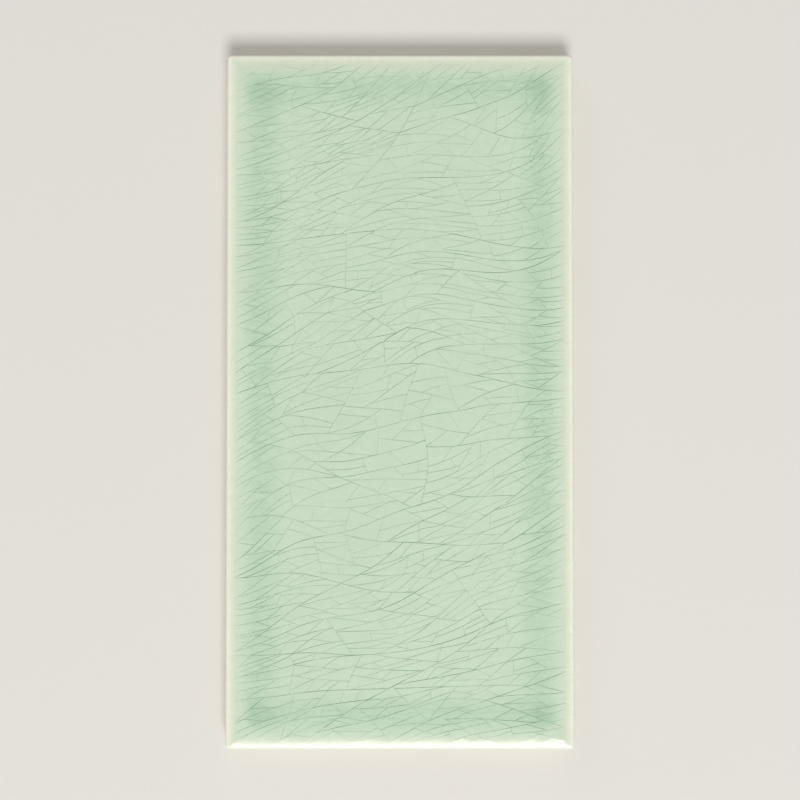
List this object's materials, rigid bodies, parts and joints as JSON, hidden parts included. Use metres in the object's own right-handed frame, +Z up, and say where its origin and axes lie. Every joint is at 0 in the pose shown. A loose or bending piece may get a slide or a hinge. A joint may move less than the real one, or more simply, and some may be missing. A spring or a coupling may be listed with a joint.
{
  "type": "crackle glaze tile",
  "caption": "Flat rectangular ceramic wall tile, twice as long as wide, with a glossy crackled glaze face, a softly crowned rim, straight edges and a back of shallow square keying pockets.",
  "frame": {"origin": "middle of the back, in the plane of the rib tops that the tile lies on", "axes": "+X across the short side, +Y along the long side, +Z up out of the glazed face"},
  "size_m": [0.075, 0.15, 0.008],
  "materials": {
    "crackle_glaze": "gloss"
  },
  "bodies": {
    "root": {"tile": "crackle_glaze"}
  },
  "joints": []
}
